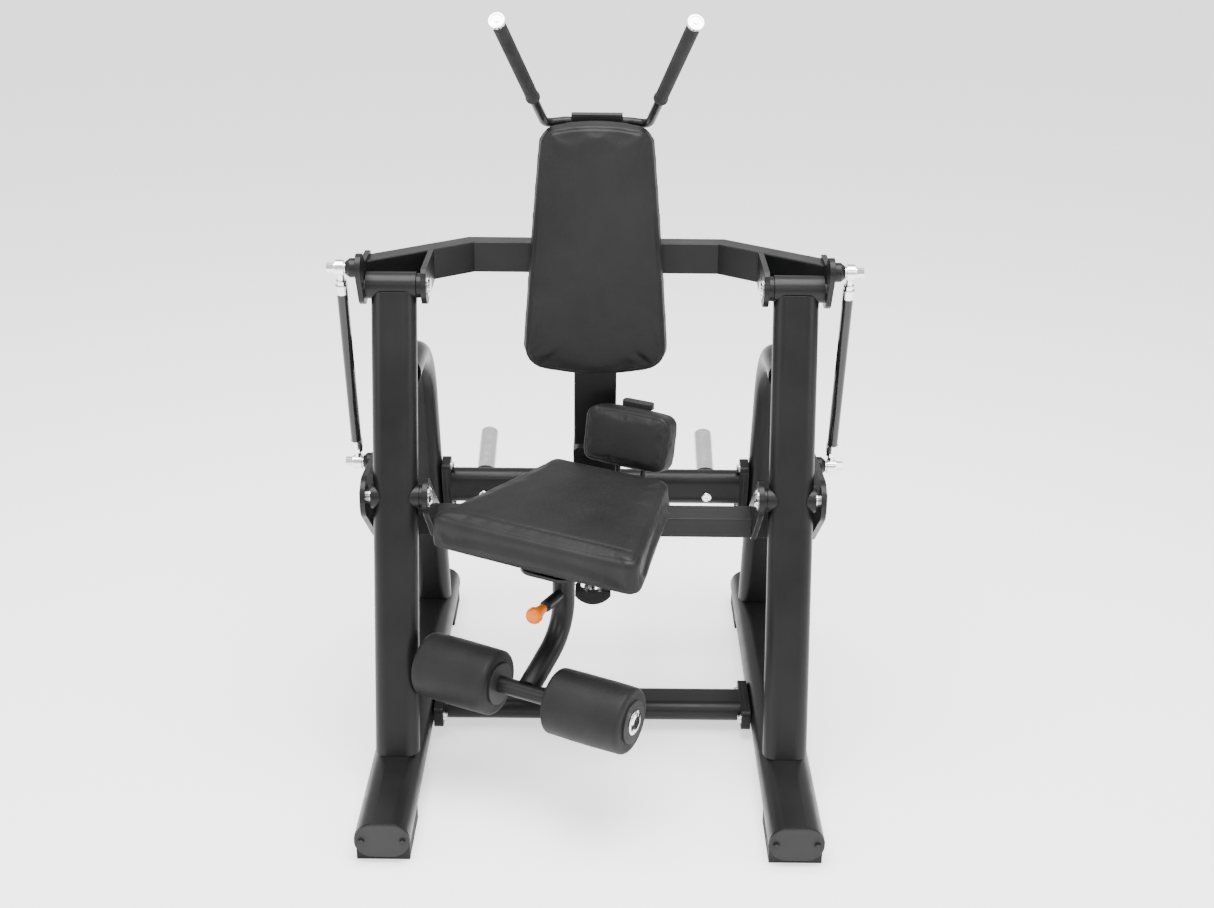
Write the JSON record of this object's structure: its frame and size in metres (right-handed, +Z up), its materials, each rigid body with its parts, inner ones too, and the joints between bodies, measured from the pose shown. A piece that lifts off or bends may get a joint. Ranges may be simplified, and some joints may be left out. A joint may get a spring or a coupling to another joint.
{
  "type": "plate-loaded abdominal crunch machine",
  "caption": "Free-standing gym machine with twin A-frame sides, a crunch yoke with back pad and overhead handles, a linked lower lever, and a swivel seat with leg rollers.",
  "frame": {"origin": "on the floor at the middle of the base rails", "axes": "+Z up, +Y towards the back of the machine, X across it"},
  "size_m": [1.1558, 1.227, 1.7146],
  "materials": {
    "black_paint": "satin powder coat",
    "grey_plate": "satin powder coat",
    "rod_black": "gloss paint",
    "chrome": "polished",
    "black_screw": "black oxide",
    "rubber": "matt",
    "pad": "grained upholstery",
    "board": "painted board",
    "foam": "soft grained foam",
    "plastic": "matt",
    "orange": "satin orange"
  },
  "bodies": {
    "frame": {"base_rails": "black_paint", "rail_end_plates": "grey_plate", "end_plate_screws": "black_screw", "rubber_feet": "rubber", "uprights": "black_paint", "rear_legs": "black_paint", "top_bearings": "black_paint", "lower_bearings": "black_paint", "low_crossbeam": "black_paint", "storage_crossbeam": "black_paint", "beam_tabs": "black_paint", "beam_bolts": "chrome", "plate_horns": "chrome", "horn_collars": "rubber", "horn_screws": "chrome", "seat_support_arm": "black_paint", "stop_bracket": "black_paint", "stop_bumper": "rubber", "swivel_stub": "chrome"},
    "yoke": {"yoke_beam": "black_paint", "yoke_inner_plates": "black_paint", "yoke_cranks": "black_paint", "yoke_shafts": "chrome", "yoke_pivot_caps": "chrome", "yoke_pivot_collars": "black_paint", "yoke_post": "black_paint", "handle_clamp": "black_paint", "handle_bar": "black_paint", "grips": "rubber", "grip_end_caps": "chrome", "back_pad": "pad", "back_pad_board": "board", "upper_rod_bolts": "chrome"},
    "lever": {"lever_beam": "black_paint", "lever_inner_plates": "black_paint", "lever_cranks": "black_paint", "lever_shafts": "chrome", "lever_pivot_caps": "chrome", "lever_pivot_collars": "black_paint", "lower_rod_bolts": "chrome"},
    "rod_left": {"tie_rod_left": "rod_black", "rod_ends_left": "chrome"},
    "rod_right": {"tie_rod_right": "rod_black", "rod_ends_right": "chrome"},
    "seat": {"seat_column": "chrome", "seat_pan": "black_paint", "seat_cushion": "pad", "leg_tube": "black_paint", "pin_barrel": "black_screw", "roller_shaft": "black_paint", "roller_end_caps": "chrome", "lumbar_pad": "pad", "lumbar_bracket": "black_paint", "lumbar_knob": "plastic"},
    "pull_pin": {"pull_pin": "chrome", "pull_knob": "orange"},
    "roller_left": {"leg_roller_left": "foam", "roller_core_left": "plastic"},
    "roller_right": {"leg_roller_right": "foam", "roller_core_right": "plastic"}
  },
  "joints": [
    {"name": "yoke_hinge", "type": "hinge", "parent": "frame", "child": "yoke", "pos_m": [0, -0.05, 1.112], "axis": [1, 0, 0], "range_deg": [0, 40]},
    {"name": "lever_hinge", "type": "hinge", "parent": "frame", "child": "lever", "pos_m": [0, -0.168, 0.66], "axis": [1, 0, 0], "range_deg": [-10.5, 0.5]},
    {"name": "rod_hinge_left", "type": "hinge", "parent": "yoke", "child": "rod_left", "pos_m": [-0.5495, -0.09, 1.162], "axis": [1, 0, 0], "range_deg": [-38, 0.5]},
    {"name": "rod_hinge_right", "type": "hinge", "parent": "yoke", "child": "rod_right", "pos_m": [0.5495, -0.09, 1.162], "axis": [1, 0, 0], "range_deg": [-38, 0.5]},
    {"name": "seat_swivel", "type": "hinge", "parent": "frame", "child": "seat", "pos_m": [0, -0.115, 0.48], "axis": [0, 0, 1], "range_deg": [0, 55]},
    {"name": "pin_slide", "type": "slide", "parent": "seat", "child": "pull_pin", "axis": [-0.4617, -0.887, 0], "range_m": [0, 0.012], "stiffness_N_per_m": 400, "springref_m": -0.005},
    {"name": "roller_spin_left", "type": "hinge", "parent": "seat", "child": "roller_left", "pos_m": [-0.28765, -0.31024, 0.292], "axis": [0.887, -0.4617, 0], "continuous": true},
    {"name": "roller_spin_right", "type": "hinge", "parent": "seat", "child": "roller_right", "pos_m": [0.00506, -0.46261, 0.292], "axis": [0.887, -0.4617, 0], "continuous": true}
  ],
  "couplings": [
    {"joint": "lever_hinge", "follows": "yoke_hinge", "ratio": -0.258},
    {"joint": "rod_hinge_left", "follows": "yoke_hinge", "ratio": -0.938},
    {"joint": "rod_hinge_right", "follows": "yoke_hinge", "ratio": -0.938}
  ]
}
